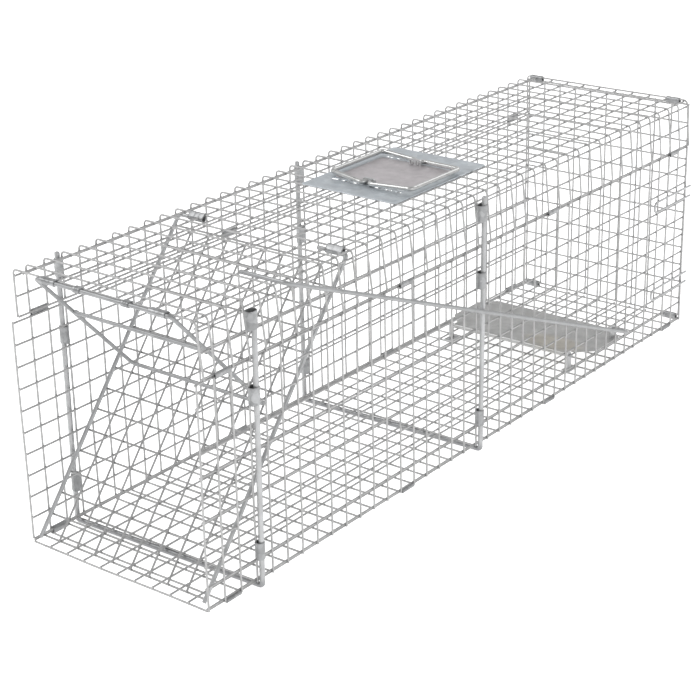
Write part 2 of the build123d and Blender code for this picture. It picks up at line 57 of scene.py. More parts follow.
# --- counts of squares in the welded meshes ------------------------------------------------
CELLS_WIDE = 10
CELLS_LONG = 39
CELLS_SIDE = 10
CELLS_REAR = 12
DOOR_CELLS_WIDE = 9
DOOR_CELLS_LONG = 15
DOOR_HINGE_WIRE = 10  # the roof's cross wire that the door hangs from, counted from the mouth

# --- sizes the looks add to the frame ------------------------------------------------------
WIRE_RADIUS = 1.18 * MM
LAYER = 2.1 * MM  # from one layer of wires to the layer welded on it
WELD_SWELL = 1.12
WELD_HALF = 1.6 * MM
WIRE_OVERSHOOT = 0.6 * MM  # of a cut wire past the last wire it is welded to
WIRE_CUT = 0.96  # share of the radius left at a wire's cut end
LEFT_BEND = 4.5 * MM  # of the roof sheet's folds
RIGHT_BEND = 6.0 * MM
RIGHT_LEAN = 4.0 * MM  # the right skirt's fold lies this far inside its lowest wire
RIGHT_SLANT = 3.5 * MM  # and its cross wires run this far backwards on their way down
WIRE_SIDES = 8
ROD_SIDES = 20
SHEET = 1.1 * MM  # of the sleeves
WARP_OUT = 0.7 * MM  # how far a mesh panel wanders out of its plane
WARP_IN = 0.5 * MM  # and within it
WARP_DENSITY = 9.0  # of the wandering, per metre
SEED_SHIFT = Vector((1.0, 3.7, 1.3))  # moves each panel's wandering elsewhere in the noise
CRIMP = 0.22 * MM  # depth of the two crimps across a sleeve
FLARE = 0.12 * MM  # of a sleeve next to its ends
CREASE = 0.25 * MM  # by which a sleeve's ends are drawn in


def joint_place(name):
    return Vector(JOINTS[name]["pos_m"])


# --- geometry tools ------------------------------------------------------------------------
NO_WIRE_ALONG = (0.31, 0.52, 0.79)  # a direction that no wire or rod starts in


class Tubes:
    """Gathers round wires and rods into one mesh."""

    def __init__(self):
        self.points = []
        self.faces = []

    def add(self, path, radius, sides=WIRE_SIDES, closed=False):
        """One tube along path; radius is a number or one number for each point."""
        path = np.array([tuple(p) for p in path], dtype=float)
        count = len(path)
        radii = np.broadcast_to(np.array(radius, dtype=float), (count,))
        if closed:
            along = np.roll(path, -1, axis=0) - np.roll(path, 1, axis=0)
        else:
            along = np.gradient(path, axis=0)
        along /= np.linalg.norm(along, axis=1)[:, None]
        across = np.cross(along[0], NO_WIRE_ALONG)
        first = len(self.points)
        for i in range(count):
            across = across - np.dot(across, along[i]) * along[i]
            across /= np.linalg.norm(across)
            beside = np.cross(along[i], across)
            for k in range(sides):
                turn = 2 * math.pi * k / sides
                offset = math.cos(turn) * across + math.sin(turn) * beside
                self.points.append(path[i] + radii[i] * offset)
        rings = count if closed else count - 1
        for i in range(rings):
            a, b = first + i * sides, first + (i + 1) % count * sides
            for k in range(sides):
                n = (k + 1) % sides
                self.faces.append((a + k, a + n, b + n, b + k))
        if not closed:
            last = first + (count - 1) * sides
            self.faces.append(tuple(range(first + sides - 1, first - 1, -1)))
            self.faces.append(tuple(range(last, last + sides)))

    def rod(self, path, radius):
        """A cut rod, its two ends slightly rounded off."""
        path = [Vector(p) for p in path]
        start = (path[1] - path[0]).normalized()
        end = (path[-2] - path[-1]).normalized()
        inset = 0.35 * radius
        half_way = inset * 0.3
        body = [path[0], path[0] + start * half_way, path[0] + start * inset]
        body += path[1:-1]
        body += [path[-1] + end * inset, path[-1] + end * half_way, path[-1]]
        rounding = [0.72 * radius, 0.9 * radius, radius]
        radii = rounding + [radius] * (len(path) - 2) + rounding[::-1]
        self.add(body, radii, sides=ROD_SIDES)


def make_mesh(name, points, faces):
    mesh = bpy.data.meshes.new(name)
    mesh.from_pydata([tuple(p) for p in points], [], faces)
    mesh.validate()
    mesh.shade_smooth()
    mesh.set_sharp_from_angle(angle=math.radians(50))
    piece = bpy.data.objects.new(name, mesh)
    bpy.context.scene.collection.objects.link(piece)
    return piece


def settle(piece, body, slot, material, *nodes):
    """Puts a finished piece on its body, in place of its CAD nodes; its slot is not used."""
    piece.data.materials.clear()
    piece.data.materials.append(material)
    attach(piece, body)
    if nodes:
        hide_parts(*nodes)


def bent(corners, radius, closed=False, steps=8):
    """A path through the corners with each one rounded to the radius."""
    corners = [Vector(c) for c in corners]
    count = len(corners)
    path = []
    for i, corner in enumerate(corners):
        if not closed and i in (0, count - 1):
            path.append(corner)
            continue
        before = (corners[i - 1] - corner).normalized()
        after = (corners[(i + 1) % count] - corner).normalized()
        half = before.angle(after) / 2
        reach = radius / math.tan(half)
        centre = corner + (before + after).normalized() * (radius / math.sin(half))
        start, end = corner + before * reach, corner + after * reach
        first, last = start - centre, end - centre
        turn = first.angle(last)
        for k in range(steps + 1):
            share = k / steps
            spoke = math.sin((1 - share) * turn) * first + math.sin(share * turn) * last
            path.append(centre + spoke / math.sin(turn))
    return path


def wander(point, seed, out, amount=1.0):
    """A small smooth displacement, so that no panel is perfectly flat or square."""
    drift = noise.noise_vector(point * WARP_DENSITY + seed * SEED_SHIFT)
    level = drift.dot(out)
    return amount * (drift - level * out) * WARP_IN + amount * level * out * WARP_OUT


def spread(low, high, cells):
    """Centre lines of the wires of a panel that reaches from low to high."""
    half = WIRE / 2
    return [float(v) for v in np.linspace(low + half, high - half, cells + 1)]


def wire_samples(crossings):
    """Places along a wire: either side of each weld, on it, and midway between welds."""
    places = []
    for i, c in enumerate(crossings):
        if i:
            places.append(((c + crossings[i - 1]) / 2, 1.0))
        places.append((c - WELD_HALF, 1.0))
        places.append((c, WELD_SWELL))
        places.append((c + WELD_HALF, 1.0))
    return places


def cut_wire_samples(crossings):
    """The same for a wire that is cut just past its first and last welds."""
    places = wire_samples(crossings)
    places[0] = (crossings[0] - WIRE_OVERSHOOT, WIRE_CUT)
    places[-1] = (crossings[-1] + WIRE_OVERSHOOT, WIRE_CUT)
    return places


def add_wire(tubes, samples, at):
    """A wire through at(place) for each sampled place, swollen as each sample says."""
    tubes.add([at(v) for v, _ in samples], [WIRE_RADIUS * s for _, s in samples])


def weld_panel(tubes, us, vs, place, first_level=0.0, second_level=-LAYER, reach=None):
    """A welded mesh: place(u, v, level) gives a point, level being along the panel's outside.

    Wires of constant u lie at first_level and wires of constant v at second_level; those of
    constant v run out to -reach and +reach where reach is given.
    """
    for u in us:
        add_wire(tubes, cut_wire_samples(vs), lambda v: place(u, v, first_level))
    for v in vs:
        if reach:
            samples = [(-reach, 1.0)] + wire_samples(us) + [(reach, 1.0)]
        else:
            samples = cut_wire_samples(us)
        add_wire(tubes, samples, lambda u: place(u, v, second_level))


def cad_points(node):
    return [v.co for v in frame["nodes"][node].data.vertices]


def middle_of(points):
    return sum(points, Vector()) / len(points)


def wire_lines(node, axis, keep):
    """Centre lines of a CAD mesh's wires along one axis, where keep() accepts the vertices."""
    slack = 0.05 * MM
    edges = sorted({round(p[axis], 5) for p in cad_points(node) if keep(p)})
    return [(a + b) / 2 for a, b in zip(edges, edges[1:]) if abs(b - a - WIRE) < slack]


def islands(node, to_local=Matrix.Identity(4)):
    """The boxes of a CAD node's separate solids, in local axes, as (low, high)."""
    mesh = bmesh.new()
    mesh.from_mesh(frame["nodes"][node].data)
    bmesh.ops.transform(mesh, matrix=to_local, verts=mesh.verts)
    bmesh.ops.remove_doubles(mesh, verts=mesh.verts, dist=1e-6)
    mesh.verts.ensure_lookup_table()
    seen, boxes = set(), []
    for vert in mesh.verts:
        if vert in seen:
            continue
        stack, low, high = [vert], vert.co.copy(), vert.co.copy()
        seen.add(vert)
        while stack:
            here = stack.pop()
            low = Vector(map(min, low, here.co))
            high = Vector(map(max, high, here.co))
            for edge in here.link_edges:
                other = edge.other_vert(here)
                if other not in seen:
                    seen.add(other)
                    stack.append(other)
        boxes.append((low, high))
    mesh.free()
    return sorted(boxes, key=lambda b: tuple(round(v, 4) for v in (*b[0], *b[1])))


# --- materials -----------------------------------------------------------------------------
SHEET_GRAIN = 900.0
ROD_GRAIN = 700.0
SHEET_BUMP = 0.03
# Painted shade: darkens the rods where they run along the floor, fading out about 15 mm up.
PAINTED_GROUND_SHADE = ((0.0, 0.0, -0.01), (2.0, 4.0, 0.025), (0.62, 0.62, 0.63))
# A warmer tone over a patch of the treadle.
WARM_TREADLE_PATCH = ((0.06, 0.265, 0.033), (0.055, 0.028, 0.03), (1.0, 0.95, 0.86))


def add_patch(tree, where, base, centre, size, tone):
    """Multiplies a colour by tone inside a soft ellipsoid, all in metres."""
    nodes, link = tree.nodes, tree.links.new
    shift = nodes.new("ShaderNodeVectorMath")
    shift.operation = "SUBTRACT"
    shift.inputs[1].default_value = centre
    link(where.outputs["Object"], shift.inputs[0])
    scale = nodes.new("ShaderNodeVectorMath")
    scale.operation = "DIVIDE"
    scale.inputs[1].default_value = size
    link(shift.outputs["Vector"], scale.inputs[0])
    length = nodes.new("ShaderNodeVectorMath")
    length.operation = "LENGTH"
    link(scale.outputs["Vector"], length.inputs[0])
    fade = nodes.new("ShaderNodeMapRange")
    fade.interpolation_type = "SMOOTHSTEP"
    fade.inputs["From Min"].default_value = 0.5
    fade.inputs["From Max"].default_value = 1.0
    fade.inputs["To Min"].default_value = 1.0
    fade.inputs["To Max"].default_value = 0.0
    link(length.outputs["Value"], fade.inputs["Value"])
    # mixes in each patch's tone: painted shade on the rods near the floor, a warmer tone on
    # the treadle
    patch_tone_mix = nodes.new("ShaderNodeMix")
    patch_tone_mix.data_type = "RGBA"
    patch_tone_mix.blend_type = "MULTIPLY"
    patch_tone_mix.inputs["B"].default_value = (*tone, 1)
    link(fade.outputs["Result"], patch_tone_mix.inputs["Factor"])
    link(base, patch_tone_mix.inputs["A"])
    return patch_tone_mix.outputs["Result"]


def zinc(
    name, colour, roughness, metallic, spangle=0.0, grain=SHEET_GRAIN, bump=0.12, patches=()
):
    """Galvanised steel: soft mottling, fine grain and, on sheet, crystal spangle."""
    material = bpy.data.materials.new(name)
    material.use_nodes = True
    tree = material.node_tree
    nodes, link = tree.nodes, tree.links.new
    shader = nodes["Principled BSDF"]
    shader.inputs["Metallic"].default_value = metallic
    where = nodes.new("ShaderNodeTexCoord")

    mottle = nodes.new("ShaderNodeTexNoise")
    mottle.inputs["Scale"].default_value = 55.0
    mottle.inputs["Detail"].default_value = 6.0
    mottle.inputs["Roughness"].default_value = 0.62
    link(where.outputs["Object"], mottle.inputs["Vector"])

    tint = nodes.new("ShaderNodeValToRGB")
    tint.color_ramp.elements[0].position = 0.28
    tint.color_ramp.elements[0].color = (*[0.80 * c for c in colour], 1)
    tint.color_ramp.elements[1].position = 0.72
    tint.color_ramp.elements[1].color = (*[min(1.0, 1.12 * c) for c in colour], 1)
    link(mottle.outputs["Fac"], tint.inputs["Fac"])
    base = tint.outputs["Color"]

    if spangle:
        crystals = nodes.new("ShaderNodeTexVoronoi")
        crystals.inputs["Scale"].default_value = 140.0
        crystals.inputs["Randomness"].default_value = 1.0
        link(where.outputs["Object"], crystals.inputs["Vector"])
        flake = nodes.new("ShaderNodeMix")
        flake.data_type = "RGBA"
        flake.blend_type = "OVERLAY"
        flake.inputs["Factor"].default_value = spangle
        grey = nodes.new("ShaderNodeRGBToBW")
        link(crystals.outputs["Color"], grey.inputs["Color"])
        link(base, flake.inputs["A"])
        link(grey.outputs["Val"], flake.inputs["B"])
        base = flake.outputs["Result"]
    for centre, size, tone in patches:
        base = add_patch(tree, where, base, centre, size, tone)
    link(base, shader.inputs["Base Color"])

    dull = nodes.new("ShaderNodeMapRange")
    dull.inputs["To Min"].default_value = roughness - 0.08
    dull.inputs["To Max"].default_value = roughness + 0.12
    link(mottle.outputs["Fac"], dull.inputs["Value"])
    link(dull.outputs["Result"], shader.inputs["Roughness"])

    fine = nodes.new("ShaderNodeTexNoise")
    fine.inputs["Scale"].default_value = grain
    fine.inputs["Detail"].default_value = 3.0
    link(where.outputs["Object"], fine.inputs["Vector"])
    relief = nodes.new("ShaderNodeBump")
    relief.inputs["Strength"].default_value = bump
    relief.inputs["Distance"].default_value = 0.0004
    link(fine.outputs["Fac"], relief.inputs["Height"])
    link(relief.outputs["Normal"], shader.inputs["Normal"])
    return material


WIRE_ZINC = zinc("wire_zinc", (0.43, 0.43, 0.43), 0.46, 0.5)
DOOR_WIRE_ZINC = zinc("door_wire_zinc", (0.35, 0.35, 0.35), 0.46, 0.5)
# rod zinc, with painted shade on its runs along the floor
ROD_ZINC = zinc(
    "rod_zinc", (0.46, 0.465, 0.47), 0.40, 0.6, grain=ROD_GRAIN, patches=[PAINTED_GROUND_SHADE]
)
DOOR_ROD_ZINC = zinc("door_rod_zinc", (0.40, 0.405, 0.41), 0.40, 0.6, grain=ROD_GRAIN)
LOCK_ZINC = zinc("lock_zinc", (0.34, 0.345, 0.35), 0.44, 0.6, grain=ROD_GRAIN)
HANDLE_ZINC = zinc("handle_zinc", (0.50, 0.505, 0.50), 0.28, 0.8, grain=ROD_GRAIN)
SLEEVE_ZINC = zinc("sleeve_zinc", (0.32, 0.325, 0.33), 0.38, 0.6, spangle=0.25)
PLATE_ZINC = zinc(
    "plate_zinc", (0.525, 0.565, 0.60), 0.36, 0.7, spangle=0.12, bump=SHEET_BUMP
)
# The raised field's zinc, tinted pinker than the plate around it as a painted reflection.
FIELD_PAINTED_REFLECTION_ZINC = zinc(
    "field_zinc_painted_reflection", (0.55, 0.52, 0.535), 0.36, 0.7, spangle=0.06, bump=SHEET_BUMP
)
TREADLE_ZINC = zinc(
    "treadle_zinc", (0.50, 0.50, 0.495), 0.38, 0.7, spangle=0.08, bump=SHEET_BUMP,
    patches=[WARM_TREADLE_PATCH],
)
FITTING_ZINC = zinc("fitting_zinc", (0.55, 0.555, 0.56), 0.42, 0.7, spangle=0.2)

# --- frame measures ------------------------------------------------------------------------
floor_low, floor_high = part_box("floor_mesh")
WIRE = floor_high[2] - floor_low[2]
HALF = WIRE / 2
CENTRE_X = (floor_low[0] + floor_high[0]) / 2
right_low, right_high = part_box("right_side_mesh")
roof_low, roof_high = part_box("roof_mesh")
rear_low, rear_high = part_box("rear_mesh")
WALL_X = right_high[0] - HALF - CENTRE_X
ROOF_Z = roof_high[2] - HALF
long_places = spread(floor_low[1], floor_high[1], CELLS_LONG)
roof_places = [roof_low[1] + HALF] + long_places[1:]
FLUSH = HALF - WIRE_RADIUS  # puts a drawn wire's outside level with its CAD wire's


# --- cage meshes ---------------------------------------------------------------------------
FLOOR_SEED, LEFT_SEED, RIGHT_SEED = 2.0, 3.0, 7.0
REAR_SEED, ROOF_SEED, DOOR_SEED = 9.0, 13.0, 21.0
ACROSS, BACK, UP = Vector((1, 0, 0)), Vector((0, 1, 0)), Vector((0, 0, 1))


def panel_place(origin, u_dir, v_dir, out, seed, warp=1.0):
    """A function that places points of a flat panel, with its own slight warp."""
    origin = Vector(origin)

    def place(u, v, level):
        flat = origin + u * u_dir + v * v_dir
        return flat + out * (level + FLUSH) + wander(flat, seed, out, warp)

    return place


def floor_wires():
    tubes = Tubes()
    xs = spread(floor_low[0], floor_high[0], CELLS_WIDE)
    place = panel_place((0, 0, floor_low[2] + HALF), ACROSS, BACK, -UP, FLOOR_SEED)
    weld_panel(tubes, xs, long_places, place, first_level=-LAYER, second_level=0.0)
    piece = make_mesh("floor_wires", tubes.points, tubes.faces)
    settle(piece, "cage", "mesh_wire", WIRE_ZINC, "floor_mesh")


def side_wires(name, node, out, seed):
    tubes = Tubes()
    low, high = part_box(node)
    x = (low[0] + high[0]) / 2
    zs = spread(low[2], high[2], CELLS_SIDE)
    place = panel_place((x, 0, 0), BACK, UP, out, seed)
    weld_panel(tubes, long_places, zs, place)
    piece = make_mesh(name, tubes.points, tubes.faces)
    settle(piece, "cage", "mesh_wire", WIRE_ZINC, node)


def rear_wires():
    tubes = Tubes()
    xs = spread(rear_low[0], rear_high[0], CELLS_WIDE)
    zs = spread(rear_low[2], rear_high[2], CELLS_REAR)
    place = panel_place((0, rear_low[1] + HALF, 0), ACROSS, UP, BACK, REAR_SEED)
    weld_panel(tubes, xs, zs, place)
    piece = make_mesh("rear_wires", tubes.points, tubes.faces)
    settle(piece, "cage", "mesh_wire", WIRE_ZINC, "rear_mesh")


def roof_wires():
    """One sheet: cross wires bent down at both sides, long wires welded on their inside."""
    left_x, right_x = CENTRE_X - WALL_X, CENTRE_X + WALL_X
    below_fold = ROOF_Z - 1.6 * WIRE

    def skirt_lines(x):
        return wire_lines("roof_mesh", 2, lambda p: abs(p.x - x) < WIRE and p.z < below_fold)

    left, right = skirt_lines(left_x), skirt_lines(right_x)
    roof = wire_lines("roof_mesh", 0, lambda p: p.z > ROOF_Z + HALF / 2)[1:-1]
    depth = ROOF_Z - right[0]
    lean = math.atan2(RIGHT_LEAN, depth)
    right_turn = math.pi / 2 - lean
    tangent = RIGHT_BEND * math.tan(right_turn / 2)
    upright = ROOF_Z - LEFT_BEND - left[0]
    left_arc, right_arc = math.pi / 2 * LEFT_BEND, right_turn * RIGHT_BEND
    fold_x = right_x - RIGHT_LEAN
    flat = fold_x - tangent - left_x - LEFT_BEND

    def section(run):
        """(x, z, outward direction) at a distance along the folded sheet."""
        if run < upright:
            return left_x, left[0] + run, -ACROSS
        run -= upright
        if run < left_arc:
            turn = run / LEFT_BEND
            out = Vector((-math.cos(turn), 0, math.sin(turn)))
            x = left_x + LEFT_BEND * (1 + out.x)
            return x, ROOF_Z - LEFT_BEND * (1 - out.z), out
        run -= left_arc
        if run < flat:
            return left_x + LEFT_BEND + run, ROOF_Z, UP
        run -= flat
        if run < right_arc:
            turn = run / RIGHT_BEND
            out = Vector((math.sin(turn), 0, math.cos(turn)))
            x = fold_x - tangent + RIGHT_BEND * out.x
            return x, ROOF_Z - RIGHT_BEND * (1 - out.z), out
        run += tangent - right_arc
        out = Vector((math.cos(lean), 0, math.sin(lean)))
        return fold_x + run * out.z, ROOF_Z - run * out.x, out

    def place(run, y, level):
        x, z, out = section(run)
        if x > CENTRE_X:
            y += RIGHT_SLANT * (ROOF_Z - z) / depth
        flat_point = Vector((x, y, z))
        return flat_point + out * (level + FLUSH) + wander(flat_point, ROOF_SEED, out)

    roof_start = upright + left_arc
    fold_end = roof_start + flat + right_arc
    runs = [z - left[0] for z in left]
    runs += [roof_start + x - left_x - LEFT_BEND for x in roof]
    runs += [fold_end - tangent + (ROOF_Z - z) / math.cos(lean) for z in reversed(right)]
    left_steps, right_steps = 6, 8
    bends = [upright + left_arc * k / left_steps for k in range(left_steps + 1)]
    bends += [fold_end - right_arc * k / right_steps for k in range(right_steps + 1)]
    from_weld = WELD_HALF * 1.2
    clear = [b for b in bends if min(abs(b - r) for r in runs) > from_weld]
    crossing = sorted(cut_wire_samples(runs) + [(b, 1.0) for b in clear])
    tubes = Tubes()
    for y in roof_places:
        add_wire(tubes, crossing, lambda run: place(run, y, 0.0))
    for run in runs:
        add_wire(tubes, cut_wire_samples(roof_places), lambda y: place(run, y, -LAYER))
    piece = make_mesh("roof_wires", tubes.points, tubes.faces)
    settle(piece, "cage", "mesh_wire", WIRE_ZINC, "roof_mesh")


# --- frames and hooks ----------------------------------------------------------------------
FRAME_ROD = 6.0 * MM
FRAME_BEND = 4.0 * MM
FRAME_SKEW = 8.0 * MM  # the right foot stands this much behind the left one
HOOK_ROD = 1.5 * MM
HOOK_BEND = 6.0 * MM
CUT_END = 0.2 * MM  # CAD vertices this close to a rod's end belong to its cut face


def post_top(node, side):
    """The middle of the cut end of a frame's left (-1) or right (1) post."""
    points = [p for p in cad_points(node) if (p.x - CENTRE_X) * side > 0]
    top = max(p.z for p in points)
    return middle_of([p for p in points if p.z > top - CUT_END])


def carrying_frame(name, node):
    low, high = (Vector(v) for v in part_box(node))
    radius = FRAME_ROD / 2
    left, right = post_top(node, -1), post_top(node, 1)
    z = low.z + radius
    foot_left = Vector((left.x, low.y + radius, z))
    foot_right = Vector((right.x, foot_left.y + FRAME_SKEW, z))
    tubes = Tubes()
    tubes.rod(bent([left, foot_left, foot_right, right], FRAME_BEND), radius)
    piece = make_mesh(name, tubes.points, tubes.faces)
    settle(piece, "cage", "frame_rod", ROD_ZINC, node)


def rear_hooks():
    tubes = Tubes()
    for low, high in islands("rear_retaining_hooks"):
        x = (low[0] + high[0]) / 2
        front, back = low[1] + HOOK_ROD, high[1]
        bottom, top = low[2] + HOOK_ROD, high[2] - HOOK_ROD
        corners = [(x, back, bottom), (x, front, bottom), (x, front, top), (x, back, top)]
        tubes.rod(bent(corners, HOOK_BEND), HOOK_ROD)
    piece = make_mesh("rear_hook_wires", tubes.points, tubes.faces)
    settle(piece, "cage", "frame_rod", ROD_ZINC, "rear_retaining_hooks")


# --- crimped sleeves -----------------------------------------------------------------------
def sleeve_outline(first, first_radius, second, second_radius, steps=10):
    """The outline of a band pulled round two rods, as 2-D points."""
    gap = second - first
    apart = gap.length
    heading = math.atan2(gap.y, gap.x)
    if apart < 1e-9:
        lean = math.pi / 2
    else:
        lean = math.acos(max(-1.0, min(1.0, (first_radius - second_radius) / apart)))
    outline = []
    for k in range(steps + 1):
        turn = heading + lean + (2 * math.pi - 2 * lean) * k / steps
        outline.append(first + Vector((math.cos(turn), math.sin(turn))) * first_radius)
    for k in range(steps + 1):
        turn = heading - lean + 2 * lean * k / steps
        outline.append(second + Vector((math.cos(turn), math.sin(turn))) * second_radius)
    return outline


# how much a sleeve swells at each share of its length
SLEEVE_PROFILE = (
    (0.0, -CREASE), (0.02, 0.0), (0.06, FLARE), (0.22, 0.0),
    (0.32, 0.0), (0.36, -CRIMP), (0.40, 0.0), (0.60, 0.0), (0.64, -CRIMP), (0.68, 0.0),
    (0.78, 0.0), (0.94, FLARE), (0.98, 0.0), (1.0, -CREASE),
    (0.985, -SHEET), (0.015, -SHEET),  # its inside
)
SLEEVE_EASE = 0.15 * MM  # keeps a sleeve within its CAD box


def add_sleeve(tubes, place, first, first_radius, second, second_radius, start, end):
    """A sheet sleeve round two rods, with eased ends and two shallow crimps across it."""
    base = len(tubes.points)
    for share, swell in SLEEVE_PROFILE:
        along = start + share * (end - start)
        outline = sleeve_outline(first, first_radius + swell, second, second_radius + swell)
        for p in outline:
            tubes.points.append(np.array(place(p.x, p.y, along)))
    size, count = len(outline), len(SLEEVE_PROFILE)
    for i in range(count):
        a, b = base + i * size, base + (i + 1) % count * size
        for k in range(size):
            n = (k + 1) % size
            tubes.faces.append((a + k, a + n, b + n, b + k))


def box_sleeve(tubes, low, high, axis):
    """A crimped sleeve that fills one CAD sleeve's box, open along axis."""
    others = [i for i in range(3) if i != axis]
    size = [high[i] - low[i] for i in others]
    radius = min(size) / 2 - SLEEVE_EASE
    reach = (max(size) - min(size)) / 2
    step = Vector((reach, 0)) if size[0] > size[1] else Vector((0, reach))
    centre = Vector([(high[i] + low[i]) / 2 for i in others])

    def place(u, v, w):
        point = Vector((0, 0, 0))
        point[others[0]], point[others[1]], point[axis] = u, v, w
        return point

    add_sleeve(
        tubes, place, centre - step, radius, centre + step, radius, low[axis], high[axis]
    )


def box_sleeves(name, node, axis):
    tubes = Tubes()
    for low, high in islands(node):
        box_sleeve(tubes, low, high, axis)
    piece = make_mesh(name, tubes.points, tubes.faces)
    settle(piece, "cage", "sleeve_sheet", SLEEVE_ZINC, node)


def pivot_sleeves(name, node, joint, rod_radius, wire_y):
    """Sleeves that hold a turning rod under a roof wire."""
    axle = joint_place(joint)
    rod_at = Vector((axle.y, axle.z))
    wire_at = Vector((wire_y, ROOF_Z))
    round_rod, round_wire = rod_radius + SHEET, HALF + SHEET

    def place(u, v, w):
        return Vector((w, u, v))

    tubes = Tubes()
    for low, high in islands(node):
        add_sleeve(tubes, place, rod_at, round_rod, wire_at, round_wire, low[0], high[0])
    piece = make_mesh(name, tubes.points, tubes.faces)
    settle(piece, "cage", "sleeve_sheet", SLEEVE_ZINC, node)


# --- door ----------------------------------------------------------------------------------
DOOR_ROD = 2.4 * MM
DOOR_BEND = 4.0 * MM
DOOR_SET_BACK = 0.8 * MM  # keeps the opened door's mesh clear of the roof's wires
DOOR_WARP = 0.3
DOOR_FOOT = 0.3 * MM  # CAD vertices this close to the rods' lower ends belong to their cuts
door_low, door_high = (Vector(v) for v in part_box("door_frame"))
hinge = joint_place("door_hinge")
roughly_down = (Vector((hinge.x, door_low.y, door_low.z)) - hinge).normalized()
door_points = cad_points("door_frame")
furthest = max(p.dot(roughly_down) for p in door_points)
door_foot = middle_of([p for p in door_points if p.dot(roughly_down) > furthest - DOOR_FOOT])
door_foot.x = hinge.x
down_door = (door_foot - hinge).normalized()
door_inward = down_door.cross(-ACROSS).normalized()
DOOR_HALF = (door_high.x - door_low.x) / 2 - DOOR_ROD
DOOR_MIDDLE = (door_high.x + door_low.x) / 2
door_axes = Matrix((ACROSS, down_door, door_inward)).transposed().to_4x4()
door_axes.translation = Vector((DOOR_MIDDLE, hinge.y, hinge.z))


def door_pieces():
    tubes = Tubes()
    for low, high in islands("door_frame", door_axes.inverted()):
        side = -1 if low[0] + high[0] < 0 else 1
        arm_end = high[0] if side < 0 else low[0]
        leg_x = side * DOOR_HALF
        corners = [(arm_end, 0, 0), (leg_x, 0, 0), (leg_x, high[1], 0)]
        tubes.rod(bent([door_axes @ Vector(c) for c in corners], DOOR_BEND), DOOR_ROD)
    piece = make_mesh("door_rods", tubes.points, tubes.faces)
    settle(piece, "door", "frame_rod", DOOR_ROD_ZINC, "door_frame")

    (low, high), = islands("door_mesh", door_axes.inverted())
    tubes = Tubes()
    lines = np.linspace(-DOOR_HALF, DOOR_HALF, DOOR_CELLS_WIDE + 1)
    xs = [float(x) for x in lines][1:-1]  # the side rods stand in for the outer two
    downs = spread(low[1], high[1], DOOR_CELLS_LONG)
    place = panel_place(
        door_axes.translation, ACROSS, down_door, -door_inward, DOOR_SEED, DOOR_WARP
    )
    weld_panel(
        tubes, xs, downs, place, -DOOR_SET_BACK, -DOOR_SET_BACK - LAYER, reach=DOOR_HALF
    )
    piece = make_mesh("door_wires", tubes.points, tubes.faces)
    settle(piece, "door", "mesh_wire", DOOR_WIRE_ZINC, "door_mesh")


# --- lock bail -----------------------------------------------------------------------------
LOCK_ROD = 2.2 * MM
LOCK_BEND = 6.0 * MM
WELD, WELD_EASE = 1.35, 1.12  # how far its crossbar's ends swell where they are welded


def lock_pieces():
    axle = joint_place("lock_hinge")
    low, high = (Vector(v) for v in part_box("lock_loop"))
    half = (high.x - low.x) / 2 - LOCK_ROD
    foot = Vector((axle.x, high.y - LOCK_ROD, low.z + LOCK_ROD))
    across = Vector((half, 0, 0))
    corners = [axle - across, axle + across, foot + across, foot - across]
    tubes = Tubes()
    loop = bent(corners, LOCK_BEND, closed=True)
    tubes.add(loop, LOCK_ROD, sides=ROD_SIDES, closed=True)
    piece = make_mesh("lock_bail_rod", tubes.points, tubes.faces)
    settle(piece, "lock_bail", "lock_rod", LOCK_ZINC, "lock_loop")

    low, high = (Vector(v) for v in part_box("lock_crossbar"))
    centre = (low + high) / 2
    length = high.x - low.x
    start = centre - Vector((length / 2, 0, 0))
    near_end = [(0.0, WELD), (0.008, WELD), (0.02, WELD_EASE), (0.03, 1.0)]
    between = [(0.1 * k, 1.0) for k in range(1, 10)]
    far_end = [(0.97, 1.0), (0.98, WELD_EASE), (0.992, WELD), (1.0, WELD)]
    profile = near_end + between + far_end
    tubes = Tubes()
    path = [start + Vector((length * share, 0, 0)) for share, _ in profile]
    tubes.add(path, [LOCK_ROD * swell for _, swell in profile], sides=ROD_SIDES)
    piece = make_mesh("lock_crossbar_rod", tubes.points, tubes.faces)
    settle(piece, "lock_bail", "lock_rod", LOCK_ZINC, "lock_crossbar")


# --- guard plate and handles ---------------------------------------------------------------
HANDLE_ROD = 2.75 * MM
HANDLE_BEND = 5.0 * MM
HANDLE_TAIL = 10.0 * MM
PIVOT_HALF = 54.5 * MM  # from the middle of the pivot line to either run
GRIP_REACH = {  # from the middle of the pivot line to the ends of each outer run
    "left_handle": (-41.5 * MM, 58.5 * MM),
    "right_handle": (-49.0 * MM, 47.5 * MM),
}
PLATE_CORNER = 4.0 * MM
SLOT_X = (17.0 * MM, 32.0 * MM, 47.0 * MM)  # both ways from the plate's middle
SLOT_Y = 54.5 * MM
SLOT_HALF = (5.0 * MM, 2.25 * MM)
SLOT_CORNER = 1.2 * MM
FIELD_HALF = (54.0 * MM, 47.0 * MM)  # of the raised field between the rows of slots
FIELD_CORNER = 3.0 * MM
FIELD_RISE = 0.5 * MM
FIELD_EDGE = 0.6 * MM


def rounded_loop(half_x, half_y, radius, centre, steps=6):
    """The outline of a rectangle with rounded corners, as 2-D points."""
    loop = []
    for quarter, (sx, sy) in enumerate(((1, 1), (-1, 1), (-1, -1), (1, -1))):
        cx = centre[0] + sx * (half_x - radius)
        cy = centre[1] + sy * (half_y - radius)
        for k in range(steps + 1):
            turn = math.pi / 2 * (quarter + k / steps)
            loop.append((cx + radius * math.cos(turn), cy + radius * math.sin(turn)))
    return loop


